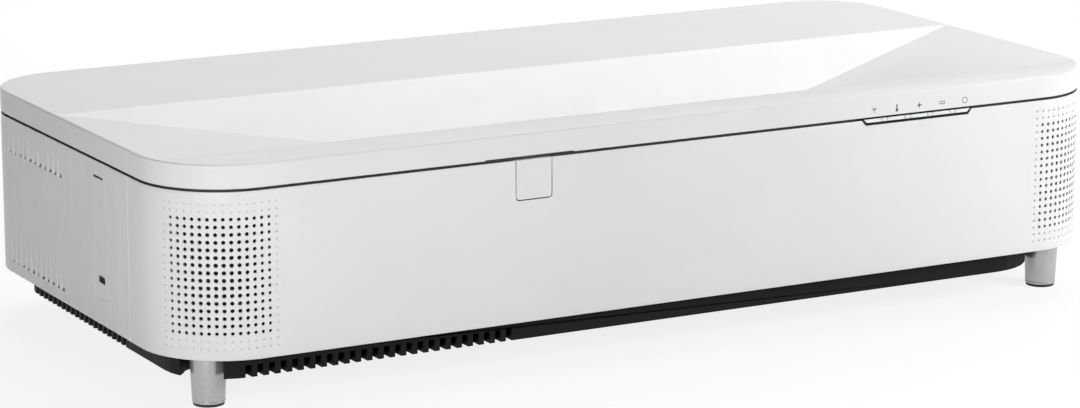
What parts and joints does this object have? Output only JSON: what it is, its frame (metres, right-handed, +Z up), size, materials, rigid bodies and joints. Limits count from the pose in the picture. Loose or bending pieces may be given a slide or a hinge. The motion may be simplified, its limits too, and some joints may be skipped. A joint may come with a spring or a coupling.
{
  "type": "ultra-short-throw projector",
  "caption": "Wide, low white home projector with a wedge-shaped recess in its lid, perforated front corners, screw feet, fans, and a service cover that pulls off.",
  "frame": {"origin": "on the ground plane, under the middle of the cabinet", "axes": "+X along the width to the right seen from the front, +Y towards the rear and the wall, +Z up; the front faces -Y"},
  "size_m": [0.695, 0.333, 0.155],
  "materials": {
    "white_plastic": "satin moulded, very fine grain",
    "black_plastic": "matt moulded",
    "grey_plastic": "satin moulded",
    "clear_plastic": "milky clear",
    "rubber": "matt",
    "satin_metal": "satin turned",
    "aluminium": "satin",
    "copper": "plain copper",
    "brass": "plain",
    "dark_glass": "coated, polished",
    "lens_glass": "polished",
    "mirror_coat": "polished",
    "paper": "pressed paper",
    "filter_paper": "pleated",
    "cloth": "woven",
    "circuit_board": "solder mask",
    "plated_steel": "plated",
    "phosphor_disc": "coated ring"
  },
  "bodies": {
    "root": {"top_lid": "white_plastic", "lid_frame": "black_plastic", "projection_window": "dark_glass", "window_bezel": "black_plastic", "front_shell": "white_plastic", "receiver_window": "white_plastic", "indicator_bezel": "black_plastic", "indicator_light_guide": "clear_plastic", "right_side_cover": "white_plastic", "rear_panel": "white_plastic", "video_socket_1": "plated_steel", "video_socket_2": "plated_steel", "data_socket": "plated_steel", "audio_socket": "black_plastic", "power_inlet": "black_plastic", "base_tray": "black_plastic", "lid_screw_1": "plated_steel", "lid_screw_2": "plated_steel", "lid_screw_3": "plated_steel", "lid_screw_4": "plated_steel", "rear_foot_left": "rubber", "rear_foot_right": "rubber", "speaker_left": "black_plastic", "speaker_right": "black_plastic", "grille_cloth_left": "cloth", "grille_cloth_right": "cloth", "rear_exhaust_fan_frame": "black_plastic", "front_exhaust_fan_frame": "black_plastic", "intake_fan_frame": "black_plastic", "lens_barrel": "black_plastic", "front_lens": "lens_glass", "focus_motor": "satin_metal", "aspheric_mirror": "mirror_coat", "mirror_holder": "black_plastic", "optical_engine": "black_plastic", "laser_module": "aluminium", "wheel_motor": "satin_metal", "heat_sink": "aluminium", "heat_pipe_front": "copper", "heat_pipe_rear": "copper", "main_board": "circuit_board", "power_supply": "circuit_board"},
    "left_cover": {"left_side_cover": "white_plastic", "filter_frame": "grey_plastic", "filter_media": "filter_paper"},
    "cover_latch": {"cover_latch": "black_plastic"},
    "left_foot_lift": {"front_foot_pad_left": "rubber"},
    "left_foot_barrel": {"front_foot_left": "satin_metal"},
    "right_foot_lift": {"front_foot_pad_right": "rubber"},
    "right_foot_barrel": {"front_foot_right": "satin_metal"},
    "left_cone": {"speaker_cone_left": "paper"},
    "right_cone": {"speaker_cone_right": "paper"},
    "focus_ring": {"focus_ring": "black_plastic"},
    "focus_pinion": {"focus_pinion": "brass"},
    "focus_cell": {"focus_lens_cell": "black_plastic"},
    "phosphor_wheel": {"phosphor_wheel": "phosphor_disc"},
    "rear_exhaust_rotor": {"rear_exhaust_fan_rotor": "grey_plastic"},
    "front_exhaust_rotor": {"front_exhaust_fan_rotor": "grey_plastic"},
    "intake_rotor": {"intake_fan_rotor": "grey_plastic"},
    "power_key": {"power_key": "grey_plastic"}
  },
  "joints": [
    {"name": "left_cover_pull", "type": "slide", "parent": "root", "child": "left_cover", "axis": [-1, 0, 0], "range_m": [0, 0.06]},
    {"name": "cover_latch_press", "type": "slide", "parent": "left_cover", "child": "cover_latch", "axis": [1, 0, 0], "range_m": [0, 0.0025], "stiffness_N_per_m": 600},
    {"name": "left_foot_lift", "type": "slide", "parent": "root", "child": "left_foot_lift", "axis": [0, 0, -1], "range_m": [0, 0.01]},
    {"name": "left_foot_turn", "type": "hinge", "parent": "left_foot_lift", "child": "left_foot_barrel", "pos_m": [-0.315, -0.1364, 0.02], "axis": [0, 0, -1], "range_deg": [0, 2400]},
    {"name": "right_foot_lift", "type": "slide", "parent": "root", "child": "right_foot_lift", "axis": [0, 0, -1], "range_m": [0, 0.01]},
    {"name": "right_foot_turn", "type": "hinge", "parent": "right_foot_lift", "child": "right_foot_barrel", "pos_m": [0.315, -0.1364, 0.02], "axis": [0, 0, -1], "range_deg": [0, 2400]},
    {"name": "left_cone_stroke", "type": "slide", "parent": "root", "child": "left_cone", "axis": [-0.7071, -0.7071, 0], "range_m": [-0.002, 0.002], "stiffness_N_per_m": 1000},
    {"name": "right_cone_stroke", "type": "slide", "parent": "root", "child": "right_cone", "axis": [0.7071, -0.7071, 0], "range_m": [-0.002, 0.002], "stiffness_N_per_m": 1000},
    {"name": "focus_ring_turn", "type": "hinge", "parent": "root", "child": "focus_ring", "pos_m": [0, -0.0585, 0.07065], "axis": [0, 1, 0], "range_deg": [-35, 35]},
    {"name": "focus_pinion_turn", "type": "hinge", "parent": "root", "child": "focus_pinion", "pos_m": [0.03135, -0.0585, 0.05255], "axis": [0, 1, 0], "range_deg": [-180, 180]},
    {"name": "focus_cell_travel", "type": "slide", "parent": "root", "child": "focus_cell", "axis": [0, 1, 0], "range_m": [-0.002, 0.002]},
    {"name": "phosphor_wheel_spin", "type": "hinge", "parent": "root", "child": "phosphor_wheel", "pos_m": [0.059, 0.0393, 0.0534], "axis": [1, 0, 0], "continuous": true},
    {"name": "rear_exhaust_spin", "type": "hinge", "parent": "root", "child": "rear_exhaust_rotor", "pos_m": [0.312, 0.097, 0.0759], "axis": [1, 0, 0], "continuous": true},
    {"name": "front_exhaust_spin", "type": "hinge", "parent": "root", "child": "front_exhaust_rotor", "pos_m": [0.312, 0.015, 0.0759], "axis": [1, 0, 0], "continuous": true},
    {"name": "intake_spin", "type": "hinge", "parent": "root", "child": "intake_rotor", "pos_m": [-0.315, 0.02, 0.0624], "axis": [1, 0, 0], "continuous": true},
    {"name": "power_key_press", "type": "slide", "parent": "root", "child": "power_key", "axis": [-1, 0, 0], "range_m": [0, 0.0012], "stiffness_N_per_m": 800}
  ],
  "couplings": [
    {"joint": "left_foot_lift", "follows": "left_foot_turn", "m_per_rad": 0.00023873},
    {"joint": "right_foot_lift", "follows": "right_foot_turn", "m_per_rad": 0.00023873},
    {"joint": "focus_pinion_turn", "follows": "focus_ring_turn", "ratio": -5},
    {"joint": "focus_cell_travel", "follows": "focus_ring_turn", "m_per_rad": 0.0031831}
  ]
}
